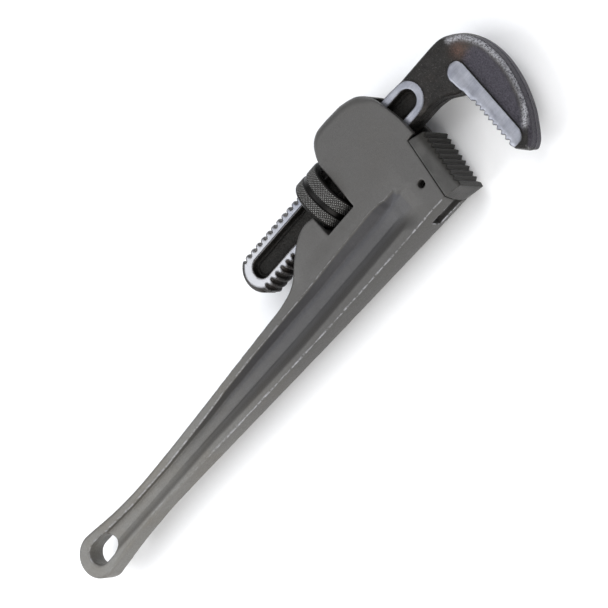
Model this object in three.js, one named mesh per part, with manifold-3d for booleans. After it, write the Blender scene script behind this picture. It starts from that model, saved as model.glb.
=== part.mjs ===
// Adjustable pipe wrench, nominal length 450 mm, lying on its side.
// Units are millimetres. +X runs from the handle's end to the jaws, +Y from the toothed side
// towards the adjusting nut's side, +Z is up. All pieces are drawn in a working frame whose
// z = 0 plane is the wrench's middle plane; the outer group moves that frame to the part's own
// origin, the middle of the underside of its bounding box.

import * as THREE from 'three';
import { mergeVertices } from 'three/addons/utils/BufferGeometryUtils.js';
import Module from 'manifold-3d';

const wasm = await Module();
wasm.setup();

// ---- driving dimensions -------------------------------------------------------------------

const ORIGIN = { x: 224.6, y: 27.5 };   // middle of the bounding box in the working frame
const GAP = 0.3;                        // clearance between pieces that touch
const THROUGH = 20;                     // half height of a cutter that goes right through
const BEYOND_BACK = 130;                // a Y coordinate clear of the wrench's back
const FLATNESS = 0.015;                 // how far a dropped corner may lie off its face

const HEAD_HALF = 15.7;                 // half thickness of the casting round the jaws
const GRIP_HALF = 8.6;                  // half thickness of the casting at the grip

const KNOB = { x: -3.2, y: 4.2, r: 16.8 };             // the rounded end of the handle
const SLOT = { left: -0.6, right: 6.2, y: 4, r: 8.4 }; // the slot it hangs by

const SCREW_Y = 54;                     // axis of the hook jaw's screw and of the nut
const SHANK_HALF = 10;                  // half thickness of the hook jaw's flat shank
const CREST_R = 16.9;                   // screw thread, crest radius
const ROOT_R = 14.7;                    // screw thread, root radius
const PITCH = 5.8;                      // screw thread, pitch
const RIDGE_FOOT = 2.3;                 // screw thread, half width below its root
const RIDGE_TOP = 1.15;                 // screw thread, half width at its crest
const RIDGE_SUNK = 0.6;                 // how deep a ridge is rooted in the shank's core
const THREAD_TURN = 24;                 // facets in one turn of the thread
const SHANK_END_X = 238.4;              // centre of the shank's half-round lower end
const SHANK_END_R = 17.6;               // its radius in the side view
const PANEL_TOP = { x: 398.8, y: 53.6, r: 7.4 };        // upper end of the oval panels
const PANEL_LOW = { x: SHANK_END_X, y: 53.8, r: 7.8 };  // lower end of the oval panels
const THREAD_START_X = 227.7;           // middle of the first thread ridge
const THREAD_TOP_X = 360;               // the thread stops here

const NUT_R = 22.6;
const NUT_LENGTH = 23.5;
const NUT_X = 307.4;                    // middle of the adjusting nut
const BORE_R = 17.4;                    // nut thread, major radius
const NUT_MINOR_R = ROOT_R + 0.4;       // nut thread, minor radius
const FLANK_GAP = 0.35;                 // axial play between the two threads

const WINDOW = { left: 294.2, right: 322, floorR: 25.5 };
const LOOP = { back: 89.5, corner: 17, edge: 7 }; // the loop round the shank, its corners
const CHANNEL_HALF = 10.8;              // half width of the channel the shank slides in

const SEAT_TOP = { x: 382.7, y: 31.5 }; // the heel jaw's seat, a sloping face of the casting
const SEAT_BOTTOM = { x: 376.5, y: -19.2 };
const TANG_HALF = 5.3;                  // half thickness of the heel jaw's tang
const PIN = { x: 370.1, y: 2.9, r: 2.55, half: 10.6, bore: 1.5, slit: 1.0 };

const TOOTH_PITCH = 4.6;
const HEEL_TEETH = 10;
const HEEL_TOOTH_DEPTH = 2.3;
const HEEL_FIRST_TIP = { x: 396.3, y: 25.6 };
const HEEL_LAST_TIP = { x: 391.6, y: -15.7 };
const HOOK_TEETH = 10;
const HOOK_TOOTH_DEPTH = 2.4;
const HOOK_TOOTH_X = 433.2;             // tips of the hook jaw's teeth
const HOOK_TOOTH_TOP = 18.2;            // tip of its top tooth
const HOOK_FLANGE_HALF = 9;             // half thickness of the hook's outer flange
const HOOK_WEB_HALF = 7.6;              // half thickness of its dished web
const PANEL_HALF = 5;                   // half thickness of the shank between its panels
const FLAT_START_X = THREAD_TOP_X - 6;  // the hook's flat shank starts under the thread

const COIL = { x: 348.5, r: 3.0, wire: 0.45, bottom: 20.4, top: 35.4, turns: 6 };
const LEAF = { left: 336.5, right: 361.5, half: 6, thick: 0.8, y: 35.9, bow: 0.5 };
const RIVET = { r: 1.1, headR: 2.1 };   // holds the leaf spring to the coil spring

// ---- materials ----------------------------------------------------------------------------

function metal(name, color, roughness, metalness) {
  return new THREE.MeshStandardMaterial({ name, color, roughness, metalness });
}

const materials = {
  cast_aluminium: metal('cast_aluminium', 0x77756f, 0.55, 0.75),
  forged_black: metal('forged_black', 0x3f3c39, 0.6, 0.7),
  black_oxide: metal('black_oxide', 0x454341, 0.5, 0.7),
  nut_steel: metal('nut_steel', 0x55534f, 0.45, 0.8),
  spring_steel: metal('spring_steel', 0x8a8a8c, 0.35, 0.9),
};

// ---- solids and booleans ------------------------------------------------------------------

function solidOf(geometry) {
  const bare = geometry.clone();
  bare.deleteAttribute('normal');
  bare.deleteAttribute('uv');
  const merged = mergeVertices(bare, 1e-4);
  return new wasm.Manifold(new wasm.Mesh({
    numProp: 3,
    vertProperties: new Float32Array(merged.attributes.position.array),
    triVerts: new Uint32Array(merged.index.array),
  }));
}

function join(first, ...others) {
  return others.reduce((whole, other) => whole.add(other), first);
}

function cut(first, ...others) {
  return others.reduce((whole, other) => whole.subtract(other), first);
}

// Corners that a flat or nearly flat face doesn't need are dropped on the way.
function meshOf(name, solid, material) {
  const data = solid.simplify(FLATNESS).getMesh();
  const geometry = new THREE.BufferGeometry();
  geometry.setAttribute('position', new THREE.BufferAttribute(data.vertProperties, 3));
  geometry.setIndex(new THREE.BufferAttribute(data.triVerts, 1));
  geometry.computeVertexNormals();
  const mesh = new THREE.Mesh(geometry, material);
  mesh.name = name;
  return mesh;
}

// A Shape with straight sides through the points given as [x, y].
function polygon(points) {
  return new THREE.Shape(points.map(([x, y]) => new THREE.Vector2(x, y)));
}

// Carries a Shape on along a smooth curve through the points given as [x, y].
function curveThrough(shape, points) {
  shape.splineThru(points.map(([x, y]) => new THREE.Vector2(x, y)));
}

// A plate with the outline shape, between two heights.
function plate(shape, low, high, curveSegments = 10) {
  const geometry = new THREE.ExtrudeGeometry(shape, {
    depth: high - low, bevelEnabled: false, curveSegments,
  });
  geometry.translate(0, 0, low);
  return solidOf(geometry);
}

// The same, where the outline is drawn in X and Z and the plate stands along Y.
function plateAlongY(shape, low, high) {
  const geometry = new THREE.ExtrudeGeometry(shape, { depth: high - low, bevelEnabled: false });
  geometry.rotateX(Math.PI / 2);
  geometry.translate(0, high, 0);
  return solidOf(geometry);
}

// The same, where the outline is drawn in Y and Z and the plate stands along X.
function plateAlongX(shape, low, high, curveSegments = 8) {
  const geometry = new THREE.ExtrudeGeometry(shape, {
    depth: high - low, bevelEnabled: false, curveSegments,
  });
  const turn = new THREE.Matrix4().makeBasis(
    new THREE.Vector3(0, 1, 0), new THREE.Vector3(0, 0, 1), new THREE.Vector3(1, 0, 0));
  geometry.applyMatrix4(turn);
  geometry.translate(low, 0, 0);
  return solidOf(geometry);
}

function block(x0, x1, y0, y1, z0, z1) {
  const geometry = new THREE.BoxGeometry(x1 - x0, y1 - y0, z1 - z0);
  geometry.translate((x0 + x1) / 2, (y0 + y1) / 2, (z0 + z1) / 2);
  return solidOf(geometry);
}

// A round bar along X, Y or Z through the point at.
function rod(radius, low, high, axis, at, sides = 32) {
  const geometry = new THREE.CylinderGeometry(radius, radius, high - low, sides);
  geometry.translate(0, (low + high) / 2, 0);
  if (axis === 'x') geometry.rotateZ(-Math.PI / 2);
  if (axis === 'z') geometry.rotateX(Math.PI / 2);
  geometry.translate(...at);
  return solidOf(geometry);
}

// A turned solid about the screw's axis, from a closed profile of [x, radius] points.
function turned(profile, sides) {
  const points = profile.map(([x, r]) => new THREE.Vector2(r, x));
  const geometry = new THREE.LatheGeometry([...points, points[0]], sides);
  geometry.rotateZ(-Math.PI / 2);
  geometry.translate(0, SCREW_Y, 0);
  return solidOf(geometry);
}

// A solid through convex sections that all have the same number of [x, y, z] corners.
function loft(sections) {
  const corners = sections[0].length;
  const index = [];
  for (let i = 0; i < sections.length - 1; i += 1) {
    for (let k = 0; k < corners; k += 1) {
      const a = corners * i + k;
      const b = corners * i + ((k + 1) % corners);
      index.push(a, b, b + corners, a, b + corners, a + corners);
    }
  }
  const last = corners * (sections.length - 1);
  for (let k = 1; k < corners - 1; k += 1) {
    index.push(0, k + 1, k, last, last + k, last + k + 1);
  }
  const geometry = new THREE.BufferGeometry();
  geometry.setAttribute('position', new THREE.Float32BufferAttribute(sections.flat(2), 3));
  geometry.setIndex(index);
  return solidOf(geometry);
}

// A right-handed helical ridge about the screw's axis. Its section is a trapezium, given as
// half widths and radii at its foot and its top, and start is its middle at angle zero.
function helicalRidge(foot, top, start, turns) {
  const corners = [[-foot.half, foot.r], [foot.half, foot.r], [top.half, top.r], [-top.half, top.r]];
  const steps = Math.round(turns * THREAD_TURN);
  const positions = [];
  const index = [];
  for (let i = 0; i <= steps; i += 1) {
    const angle = (i / THREAD_TURN) * 2 * Math.PI;
    for (const [along, r] of corners) {
      positions.push(start + (i / THREAD_TURN) * PITCH + along);
      positions.push(SCREW_Y + r * Math.cos(angle), r * Math.sin(angle));
    }
  }
  for (let i = 0; i < steps; i += 1) {
    for (let k = 0; k < 4; k += 1) {
      const a = 4 * i + k;
      const b = 4 * i + ((k + 1) % 4);
      index.push(a, b, b + 4, a, b + 4, a + 4);
    }
  }
  const last = 4 * steps;
  index.push(0, 3, 2, 0, 2, 1);
  index.push(last, last + 1, last + 2, last, last + 2, last + 3);
  const geometry = new THREE.BufferGeometry();
  geometry.setAttribute('position', new THREE.Float32BufferAttribute(positions, 3));
  geometry.setIndex(index);
  return solidOf(geometry);
}

// ---- handle: one aluminium casting --------------------------------------------------------

// Half thickness of the handle and head, seen from above.
const THICKNESS = [
  [-20, GRIP_HALF], [144, GRIP_HALF], [192, 9.5], [238, 10.3], [288, 12],
  [336, 14], [362, HEAD_HALF], [400, HEAD_HALF],
];

// Half thickness of the cheeks and the loop that hold the shank.
const HOUSING_THICKNESS = [[250, 12.6], [275, 14.6], [300, HEAD_HALF], [400, HEAD_HALF]];

// Half thickness of the web between the two recesses, which rises to the faces at the head.
const WEB = [
  [-20, 4.7], [85, 4.7], [105, 3.6], [122, 2.7], [150, 2.4], [200, 2.6], [250, 3.2], [300, 4.7],
  [322, 5.3], [330, 6], [336, 7.2], [342, 9.2], [347, 11.6], [353.5, 15.4],
];

// Everything inside a table of half thicknesses.
function thicknessEnvelope(table) {
  const below = table.map(([x, half]) => [x, -half]);
  const above = table.map(([x, half]) => [x, half]).reverse();
  return plateAlongY(polygon([...below, ...above]), -60, BEYOND_BACK);
}

// The front is slightly crowned across its thickness. Each row is a place along the handle, the
// middle of the crown there, and its rise over the square of the half width.
const CROWN = 0.0112;
const CASTING_FRONT = [
  [-30, -22, CROWN], [0, -12.6, CROWN], [12, -11.2, CROWN], [24, -10.2, CROWN], [38, -9.5, CROWN],
  [60, -9, CROWN], [90, -9.7, CROWN], [238, -15, CROWN], [345, -18, CROWN], [410, -19.6, CROWN],
];
const HEEL_FRONT = [[340, -17.6, CROWN], [376.5, -18.7, CROWN], [391, -19, 0.0004], [410, -19, 0]];

// Everything behind a crowned front.
function behindFront(rows) {
  const steps = 8;
  const reach = 1.02 * HEAD_HALF;
  const sections = rows.map(([x, middle, crown]) => {
    const points = [];
    for (let i = 0; i <= steps; i += 1) {
      const z = reach * (1 - (2 * i) / steps);
      points.push([x, middle + crown * z * z, z]);
    }
    points.push([x, BEYOND_BACK, -THROUGH], [x, BEYOND_BACK, THROUGH]);
    return points;
  });
  return loft(sections);
}

function castingOutline() {
  const outline = new THREE.Shape();
  outline.moveTo(SEAT_BOTTOM.x, SEAT_BOTTOM.y);
  outline.lineTo(SEAT_TOP.x, SEAT_TOP.y);
  outline.lineTo(389, 32);
  curveThrough(outline, [[388.4, 46], [385.5, 61], [381.5, 74], [373, 84], [360, 88.6]]);
  outline.lineTo(346, LOOP.back);
  outline.absarc(
    WINDOW.right + LOOP.corner, LOOP.back - LOOP.corner, LOOP.corner, Math.PI / 2, Math.PI, false);
  outline.lineTo(WINDOW.right, 30);
  outline.lineTo(WINDOW.left, 30);
  outline.lineTo(WINDOW.left, 46.6);
  curveThrough(outline, [[285, 48.6], [274, 46], [262, 38.4], [251, 30.6], [241, 25.6], [228, 23]]);
  outline.lineTo(93, 16.8);
  curveThrough(outline, [[60, 15.8], [38, 16.4], [22, 17.8], [8, 19.7]]);
  outline.absarc(KNOB.x, KNOB.y, KNOB.r, 1.4, 1.53 * Math.PI, false);
  curveThrough(outline, [[12, -11.2], [24, -10.2], [38, -9.5], [60, -9], [90, -9.7]]);
  outline.lineTo(238, -15);
  outline.lineTo(345, -18);
  return outline;
}

// The recess in each side of the handle, from the slot to the head.
function recessOutline() {
  const outline = new THREE.Shape();
  outline.moveTo(353.5, 15.3);
  curveThrough(outline, [[348, 16], [340, 16.6], [329, 18.6], [294, 18.1]]);
  outline.lineTo(255, 16.5);
  outline.lineTo(189, 15.4);
  outline.lineTo(157, 14.2);
  outline.lineTo(98, 10.1);
  outline.lineTo(44, 9.4);
  outline.lineTo(12, 11.4);
  outline.absarc(SLOT.left, SLOT.y, SLOT.r, Math.PI / 2, 1.5 * Math.PI, false);
  outline.lineTo(14, -4.5);
  outline.lineTo(130, -5);
  outline.lineTo(219, -8.6);
  outline.lineTo(353.5, -8.5);
  return outline;
}

// The hole through the cheeks and the tang, a little larger than the pin.
function pinHole() {
  return rod(PIN.r + GAP, -THROUGH, THROUGH, 'z', [PIN.x, PIN.y, 0], 20);
}

function makeHandle() {
  const outline = castingOutline();
  const lower = plate(outline, -HEAD_HALF, HEAD_HALF).intersect(thicknessEnvelope(THICKNESS));
  const housingOnly = block(250, 400, 28, 100, -THROUGH, THROUGH);
  const housing = plate(outline, -HEAD_HALF, HEAD_HALF)
    .intersect(thicknessEnvelope(HOUSING_THICKNESS))
    .intersect(housingOnly);

  // the loop's back corners are well rounded
  const back = new THREE.Shape();
  const cornerY = LOOP.back - LOOP.edge;
  back.moveTo(-60, -THROUGH);
  back.lineTo(60, -THROUGH);
  back.lineTo(cornerY, -HEAD_HALF);
  back.absarc(cornerY, -HEAD_HALF + LOOP.edge, LOOP.edge, -Math.PI / 2, 0, false);
  back.absarc(cornerY, HEAD_HALF - LOOP.edge, LOOP.edge, 0, Math.PI / 2, false);
  back.lineTo(60, THROUGH);
  back.lineTo(-60, THROUGH);
  const rounded = plateAlongX(back, -30, 400, 5);

  const recess = plate(recessOutline(), -THROUGH, THROUGH);
  const web = lower.intersect(recess).intersect(thicknessEnvelope(WEB));
  const beam = join(cut(lower, recess), web);

  // the slot through the web that the wrench hangs by
  const slot = new THREE.Shape();
  slot.absarc(SLOT.right, SLOT.y, SLOT.r, -Math.PI / 2, Math.PI / 2, false);
  slot.absarc(SLOT.left, SLOT.y, SLOT.r, Math.PI / 2, 1.5 * Math.PI, false);

  // nut window, open to the back, with a floor that follows the nut
  const window = join(
    block(WINDOW.left, WINDOW.right, SCREW_Y, BEYOND_BACK, -THROUGH, THROUGH),
    rod(WINDOW.floorR, WINDOW.left, WINDOW.right, 'x', [0, SCREW_Y, 0], 48),
  );

  // channel for the shank: under the cheeks, then through the loop, flared towards the jaws
  const channel = polygon([
    [235, 36], [310, 36], [323, 35.6], [372, 33.2], [385, 29], [400, 29],
    [400, 76], [388, 75.4], [323, 71.7], [310, 71.7], [310, BEYOND_BACK], [235, BEYOND_BACK],
  ]);

  // seats for the leaf spring and its coil
  const leafSeat = block(LEAF.left - 2, LEAF.right + 2, 33, 40, -LEAF.half - 1, LEAF.half + 1);
  const coilPocket = rod(COIL.r + COIL.wire + 0.5, COIL.bottom - GAP, 40, 'y', [COIL.x, 0, 0], 20);

  // slot for the heel jaw's tang, open to the front, and the pin hole through both cheeks
  const tangSlot = polygon([
    [354, -30], [400, -30], [400, 14.2], [366, 14.2], [357, 9], [354, 0],
  ]);

  return cut(
    join(beam, housing).intersect(rounded).intersect(behindFront(CASTING_FRONT)),
    plate(slot, -THROUGH, THROUGH),
    window,
    plate(channel, -CHANNEL_HALF, CHANNEL_HALF),
    leafSeat,
    coilPocket,
    plate(tangSlot, -TANG_HALF - GAP, TANG_HALF + GAP),
    pinHole(),
  );
}

// ---- teeth --------------------------------------------------------------------------------

// Saw teeth along a line from one tip towards another point: each tooth is a tip and a valley.
function teeth(from, towards, count, depth, lean) {
  const line = new THREE.Vector2(towards.x - from.x, towards.y - from.y).normalize();
  const inwards = new THREE.Vector2(depth * line.y, -depth * line.x);
  const points = [];
  for (let i = 0; i < count; i += 1) {
    const tip = new THREE.Vector2(from.x, from.y).addScaledVector(line, i * TOOTH_PITCH);
    const valley = tip.clone().addScaledVector(line, lean * TOOTH_PITCH).add(inwards);
    points.push([tip.x, tip.y]);
    if (i < count - 1) points.push([valley.x, valley.y]);
  }
  return points;
}

// ---- heel jaw: hardened steel block with a tang -------------------------------------------

function makeHeelJaw() {
  const tips = teeth(HEEL_FIRST_TIP, HEEL_LAST_TIP, HEEL_TEETH, HEEL_TOOTH_DEPTH, 0.4);
  const body = polygon([
    [SEAT_BOTTOM.x + GAP, SEAT_BOTTOM.y], [391, -19.1], ...tips.reverse(), [395.6, 27.2],
    [SEAT_TOP.x + GAP, SEAT_TOP.y - GAP - 0.1],
  ]);
  const tang = polygon([
    [385, -15.4], [385, 10.5], [378.9, 10.5], [366.6, 13.6], [357.6, 8.6],
    [354.6, 0], [356.4, -12.4], [359.4, -15.4],
  ]);
  return cut(
    join(
      plate(body, -HEAD_HALF, HEAD_HALF),
      plate(tang, -TANG_HALF, TANG_HALF),
    ).intersect(behindFront(HEEL_FRONT)),
    pinHole(),
  );
}

// A rolled spring pin: a tube with a slit along it.
function makeHeelPin() {
  return cut(
    rod(PIN.r, -PIN.half, PIN.half, 'z', [PIN.x, PIN.y, 0], 20),
    rod(PIN.bore, -THROUGH, THROUGH, 'z', [PIN.x, PIN.y, 0], 20),
    block(PIN.x - 4, PIN.x, PIN.y - PIN.slit / 2, PIN.y + PIN.slit / 2, -THROUGH, THROUGH),
  );
}

// ---- hook jaw: one forging, screw shank and toothed hook ----------------------------------

function makeScrewShank() {
  // the lower end is a half round in the side view, with broadly bevelled edges
  const bevel = { bevelThickness: 4, bevelSize: 3.4, bevelOffset: -3.4, bevelSegments: 2 };
  const seen = new THREE.Shape();
  seen.absarc(SHANK_END_X, SCREW_Y, SHANK_END_R, Math.PI / 2, 1.5 * Math.PI, false);
  seen.lineTo(THREAD_TOP_X, SCREW_Y - SHANK_END_R);
  seen.lineTo(THREAD_TOP_X, SCREW_Y + SHANK_END_R);
  const endGeometry = new THREE.ExtrudeGeometry(seen, {
    depth: 2 * (SHANK_HALF - bevel.bevelThickness), curveSegments: 14, ...bevel,
  });
  endGeometry.translate(0, 0, bevel.bevelThickness - SHANK_HALF);
  // above the half round the bevel doesn't trim the thread
  const envelope = join(
    solidOf(endGeometry),
    block(SHANK_END_X + 6, THREAD_TOP_X, SCREW_Y - 20, SCREW_Y + 20, -SHANK_HALF, SHANK_HALF),
  );
  const low = SHANK_END_X - SHANK_END_R;
  const core = rod(ROOT_R, low, THREAD_TOP_X, 'x', [0, SCREW_Y, 0], THREAD_TURN);
  const turns = Math.floor((THREAD_TOP_X - THREAD_START_X) / PITCH);
  const foot = { half: RIDGE_FOOT, r: ROOT_R - RIDGE_SUNK };
  const top = { half: RIDGE_TOP, r: CREST_R };
  const ridge = helicalRidge(foot, top, THREAD_START_X, turns);
  // below the first ridge the shank is plain and as wide as the crests
  const tip = rod(CREST_R, low, THREAD_START_X, 'x', [0, SCREW_Y, 0], THREAD_TURN);
  return join(core, ridge, tip)
    .intersect(envelope)
    .intersect(block(low - 1, THREAD_TOP_X, 0, BEYOND_BACK, -SHANK_HALF, SHANK_HALF));
}

function hookTeeth() {
  const from = { x: HOOK_TOOTH_X, y: HOOK_TOOTH_TOP };
  const towards = { x: HOOK_TOOTH_X, y: HOOK_TOOTH_TOP - 1 };
  return teeth(from, towards, HOOK_TEETH, -HOOK_TOOTH_DEPTH, 0.6);
}

function hookOutline() {
  const outline = new THREE.Shape();
  outline.moveTo(FLAT_START_X, 39.2);
  outline.lineTo(408, 38);
  curveThrough(outline, [[416.6, 36.2], [421.8, 33.2], [426.2, 30], [430, 27.8], [HOOK_TOOTH_X, 26.6]]);
  for (const [x, y] of hookTeeth()) outline.lineTo(x, y);
  outline.lineTo(HOOK_TOOTH_X + 0.6, -28);
  outline.lineTo(438, -33.4);
  curveThrough(outline, [
    [441.4, -34.9], [447.6, -31.6], [454.4, -22.8], [460.4, -12.6], [466, 2.5], [468.9, 18],
    [468.9, 32], [465.7, 46], [458.8, 57.4], [450.5, 64.2], [443.5, 67.2], [434, 67.9],
  ]);
  outline.lineTo(FLAT_START_X, 67.9);
  return outline;
}

// The two cutters that thin a plate within an outline, from both sides, to a half thickness.
function bothSides(shape, half) {
  return [plate(shape, half, THROUGH), plate(shape, -THROUGH, -half)];
}

function makeHookJaw() {
  const head = plate(hookOutline(), -HOOK_FLANGE_HALF, HOOK_FLANGE_HALF);

  // dished web between the toothed strip and the outer rim
  const dish = new THREE.Shape();
  dish.moveTo(440, 40);
  dish.lineTo(447, 43);
  curveThrough(dish, [
    [452.5, 45], [460, 42], [464.4, 33], [465, 18], [462, 3], [456.6, -9], [450, -19.5], [444.5, -25],
  ]);
  dish.lineTo(440, -24);

  // flat shank above the thread, as thick as the screw, ending in a half round
  const upper = new THREE.Shape();
  upper.moveTo(FLAT_START_X, 39.7);
  upper.lineTo(392, 39.7);
  upper.absarc(399.2, PANEL_TOP.y, 12.8, -Math.PI / 2, Math.PI / 2, false);
  upper.lineTo(392, 67.7);
  upper.lineTo(FLAT_START_X, 67.7);

  // ground strip that carries the teeth
  const strip = new THREE.Shape();
  strip.moveTo(445.9, 10);
  strip.absarc(438.9, 39.5, 7, 0, Math.PI, false);
  strip.lineTo(431.9, 24);
  for (const [x, y] of hookTeeth()) strip.lineTo(x, y);
  strip.lineTo(HOOK_TOOTH_X + 1.2, -27.4);
  strip.lineTo(438.9, -27.4);
  strip.absarc(438.9, -20.4, 7, -Math.PI / 2, 0, false);

  // long oval panel sunk in each side of the shank
  const panel = new THREE.Shape();
  panel.absarc(PANEL_LOW.x, PANEL_LOW.y, PANEL_LOW.r, Math.PI / 2, 1.5 * Math.PI, false);
  panel.absarc(PANEL_TOP.x, PANEL_TOP.y, PANEL_TOP.r, -Math.PI / 2, Math.PI / 2, false);

  return cut(
    join(
      cut(head, ...bothSides(dish, HOOK_WEB_HALF)),
      plate(upper, -SHANK_HALF, SHANK_HALF),
      plate(strip, -SHANK_HALF, SHANK_HALF),
      makeScrewShank(),
    ),
    ...bothSides(panel, PANEL_HALF),
  );
}

// ---- adjusting nut ------------------------------------------------------------------------

function makeNut() {
  const left = NUT_X - NUT_LENGTH / 2;
  const right = NUT_X + NUT_LENGTH / 2;
  const chamfer = 2.4;
  const groove = { top: 1.8, floor: 1.2, depth: 0.9 };
  const ring = turned([
    [left, NUT_R - chamfer], [left + chamfer, NUT_R],
    [NUT_X - groove.top, NUT_R], [NUT_X - groove.floor, NUT_R - groove.depth],
    [NUT_X + groove.floor, NUT_R - groove.depth], [NUT_X + groove.top, NUT_R],
    [right - chamfer, NUT_R], [right, NUT_R - chamfer],
    [right, BORE_R + 1], [right - 1, BORE_R], [left + 1, BORE_R], [left, BORE_R + 1],
  ], 48);

  // its thread runs midway between the shank's ridges and stays off the two faces
  const margin = 1.8;
  const midways = Math.ceil((left + margin - THREAD_START_X) / PITCH - 0.5) + 0.5;
  const start = THREAD_START_X + midways * PITCH;
  const turns = Math.floor(((right - margin - start) / PITCH) * THREAD_TURN) / THREAD_TURN;
  const footR = ROOT_R - RIDGE_SUNK;
  const slope = (RIDGE_FOOT - RIDGE_TOP) / (CREST_R - footR);
  const nutHalfAt = (r) => PITCH / 2 - (RIDGE_FOOT - (r - footR) * slope) - FLANK_GAP;
  const foot = { half: nutHalfAt(NUT_MINOR_R), r: NUT_MINOR_R };
  const top = { half: nutHalfAt(BORE_R + 0.3), r: BORE_R + 0.3 };
  return join(ring, helicalRidge(foot, top, start, turns));
}

// ---- springs ------------------------------------------------------------------------------

function makeCoilSpring() {
  const { x, r, wire, bottom, top, turns } = COIL;
  const sides = 6;
  const turnSteps = 12;
  const steps = turns * turnSteps;
  const rise = top - bottom - 2 * wire;
  const positions = [];
  const index = [];
  for (let i = 0; i <= steps; i += 1) {
    const angle = (i / turnSteps) * 2 * Math.PI;
    const y = bottom + wire + (i / steps) * rise;
    for (let k = 0; k < sides; k += 1) {
      const turn = (k / sides) * 2 * Math.PI;
      const radius = r + wire * Math.cos(turn);
      positions.push(x + radius * Math.cos(angle), y + wire * Math.sin(turn), radius * Math.sin(angle));
    }
  }
  for (let i = 0; i < steps; i += 1) {
    for (let k = 0; k < sides; k += 1) {
      const a = sides * i + k;
      const b = sides * i + ((k + 1) % sides);
      index.push(a, b, b + sides, a, b + sides, a + sides);
    }
  }
  for (let k = 1; k < sides - 1; k += 1) {
    const last = sides * steps;
    index.push(0, k + 1, k, last, last + k, last + k + 1);
  }
  const geometry = new THREE.BufferGeometry();
  geometry.setAttribute('position', new THREE.Float32BufferAttribute(positions, 3));
  geometry.setIndex(index);
  return solidOf(geometry);
}

function makeFlatSpring() {
  const { left, right, half, thick, y, bow } = LEAF;
  const strip = new THREE.Shape();
  const middle = (left + right) / 2;
  strip.moveTo(left, y - bow);
  strip.quadraticCurveTo(middle, y + bow, right, y - bow);
  strip.lineTo(right, y - bow + thick);
  strip.quadraticCurveTo(middle, y + bow + thick, left, y - bow + thick);
  return cut(
    plate(strip, -half, half, 8),
    rod(RIVET.r + GAP, y - 10, y + 10, 'y', [COIL.x, 0, 0], 16),
  );
}

function makeSpringRivet() {
  const { y } = LEAF;
  return join(
    rod(RIVET.r, y - 1.6, y + 0.7, 'y', [COIL.x, 0, 0], 16),
    rod(RIVET.headR, y - 1.6, y - 0.4, 'y', [COIL.x, 0, 0], 16),
  );
}

// ---- assembly -----------------------------------------------------------------------------

const wrench = new THREE.Group();
wrench.name = 'pipe_wrench';
wrench.position.set(-ORIGIN.x, -ORIGIN.y, NUT_R);
wrench.add(
  meshOf('handle', makeHandle(), materials.cast_aluminium),
  meshOf('heel_jaw', makeHeelJaw(), materials.black_oxide),
  meshOf('heel_jaw_pin', makeHeelPin(), materials.spring_steel),
  meshOf('hook_jaw', makeHookJaw(), materials.forged_black),
  meshOf('adjusting_nut', makeNut(), materials.nut_steel),
  meshOf('coil_spring', makeCoilSpring(), materials.spring_steel),
  meshOf('flat_spring', makeFlatSpring(), materials.spring_steel),
  meshOf('spring_rivet', makeSpringRivet(), materials.spring_steel),
);

export default wrench;
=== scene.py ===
"""Adjustable pipe wrench, nominal length 450 mm, lying on its side on a pale table.

The CAD frame gives the places and the moving bodies. Each visible piece is drawn here as a signed
distance field, negative inside the metal, and then skinned with one vertex per crossed cell.
Fields are in the wrench's own millimetres: x along the handle, y towards the nut's side, and
z = 0 in the middle of the thickness.
"""

import math

import bmesh
import bpy
import numpy as np
from mathutils import Matrix, Vector


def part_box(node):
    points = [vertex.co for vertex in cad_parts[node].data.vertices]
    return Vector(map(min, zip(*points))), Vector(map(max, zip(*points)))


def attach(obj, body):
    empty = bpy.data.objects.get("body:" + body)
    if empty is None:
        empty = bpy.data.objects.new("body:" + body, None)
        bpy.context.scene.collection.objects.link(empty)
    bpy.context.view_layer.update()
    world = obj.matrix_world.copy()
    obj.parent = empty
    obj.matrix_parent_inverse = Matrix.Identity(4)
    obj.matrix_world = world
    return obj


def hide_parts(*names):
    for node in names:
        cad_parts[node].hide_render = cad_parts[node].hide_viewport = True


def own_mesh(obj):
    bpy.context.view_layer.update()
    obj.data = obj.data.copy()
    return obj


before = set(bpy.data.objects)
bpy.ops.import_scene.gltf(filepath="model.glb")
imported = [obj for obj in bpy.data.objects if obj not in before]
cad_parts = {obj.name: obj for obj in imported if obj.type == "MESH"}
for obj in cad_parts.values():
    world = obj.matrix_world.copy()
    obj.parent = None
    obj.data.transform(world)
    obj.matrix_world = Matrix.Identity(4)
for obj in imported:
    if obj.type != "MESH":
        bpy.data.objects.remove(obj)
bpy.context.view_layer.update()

MM = 0.001

# ---- driving dimensions, in millimetres ---------------------------------------------------

GAP = 0.3                  # clearance round pieces that touch
SCREW_Y = 54.0             # the axis of the shank's screw and of the nut
NUT_X = 307.4
HEAD_HALF = 15.7
SHANK_HALF = 10.0
CREST_R, ROOT_R, PITCH = 16.9, 14.7, 5.8
RIDGE_FOOT, RIDGE_TOP = 2.0, 1.0
SHANK_END_X, SHANK_END_R, THREAD_START_X, THREAD_TOP_X = 238.4, 17.6, 227.7, 360.0
NUT_R, NUT_LENGTH, NUT_BORE = 22.6, 23.5, 17.4
WINDOW_LEFT, WINDOW_RIGHT, WINDOW_FLOOR_R = 294.2, 322.0, 25.5
CHANNEL_HALF = 10.8
LOOP_BACK, LOOP_CORNER = 89.5, 17.0
PANEL_TOP_X, PANEL_DEPTH, PLATEAU = 398.8, 5.0, 0.5
SEAT_TOP, SEAT_BOTTOM = (382.7, 31.5), (376.5, -19.2)
TANG_HALF = 5.3
PIN_X, PIN_Y, PIN_R, PIN_BORE, PIN_HALF = 370.1, 2.9, 2.55, 1.5, 10.6
TOOTH_PITCH = 4.6
HEEL_FIRST_TIP, HEEL_LAST_TIP, HEEL_TOOTH_DEPTH = (396.3, 25.6), (391.6, -15.7), 2.3
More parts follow.
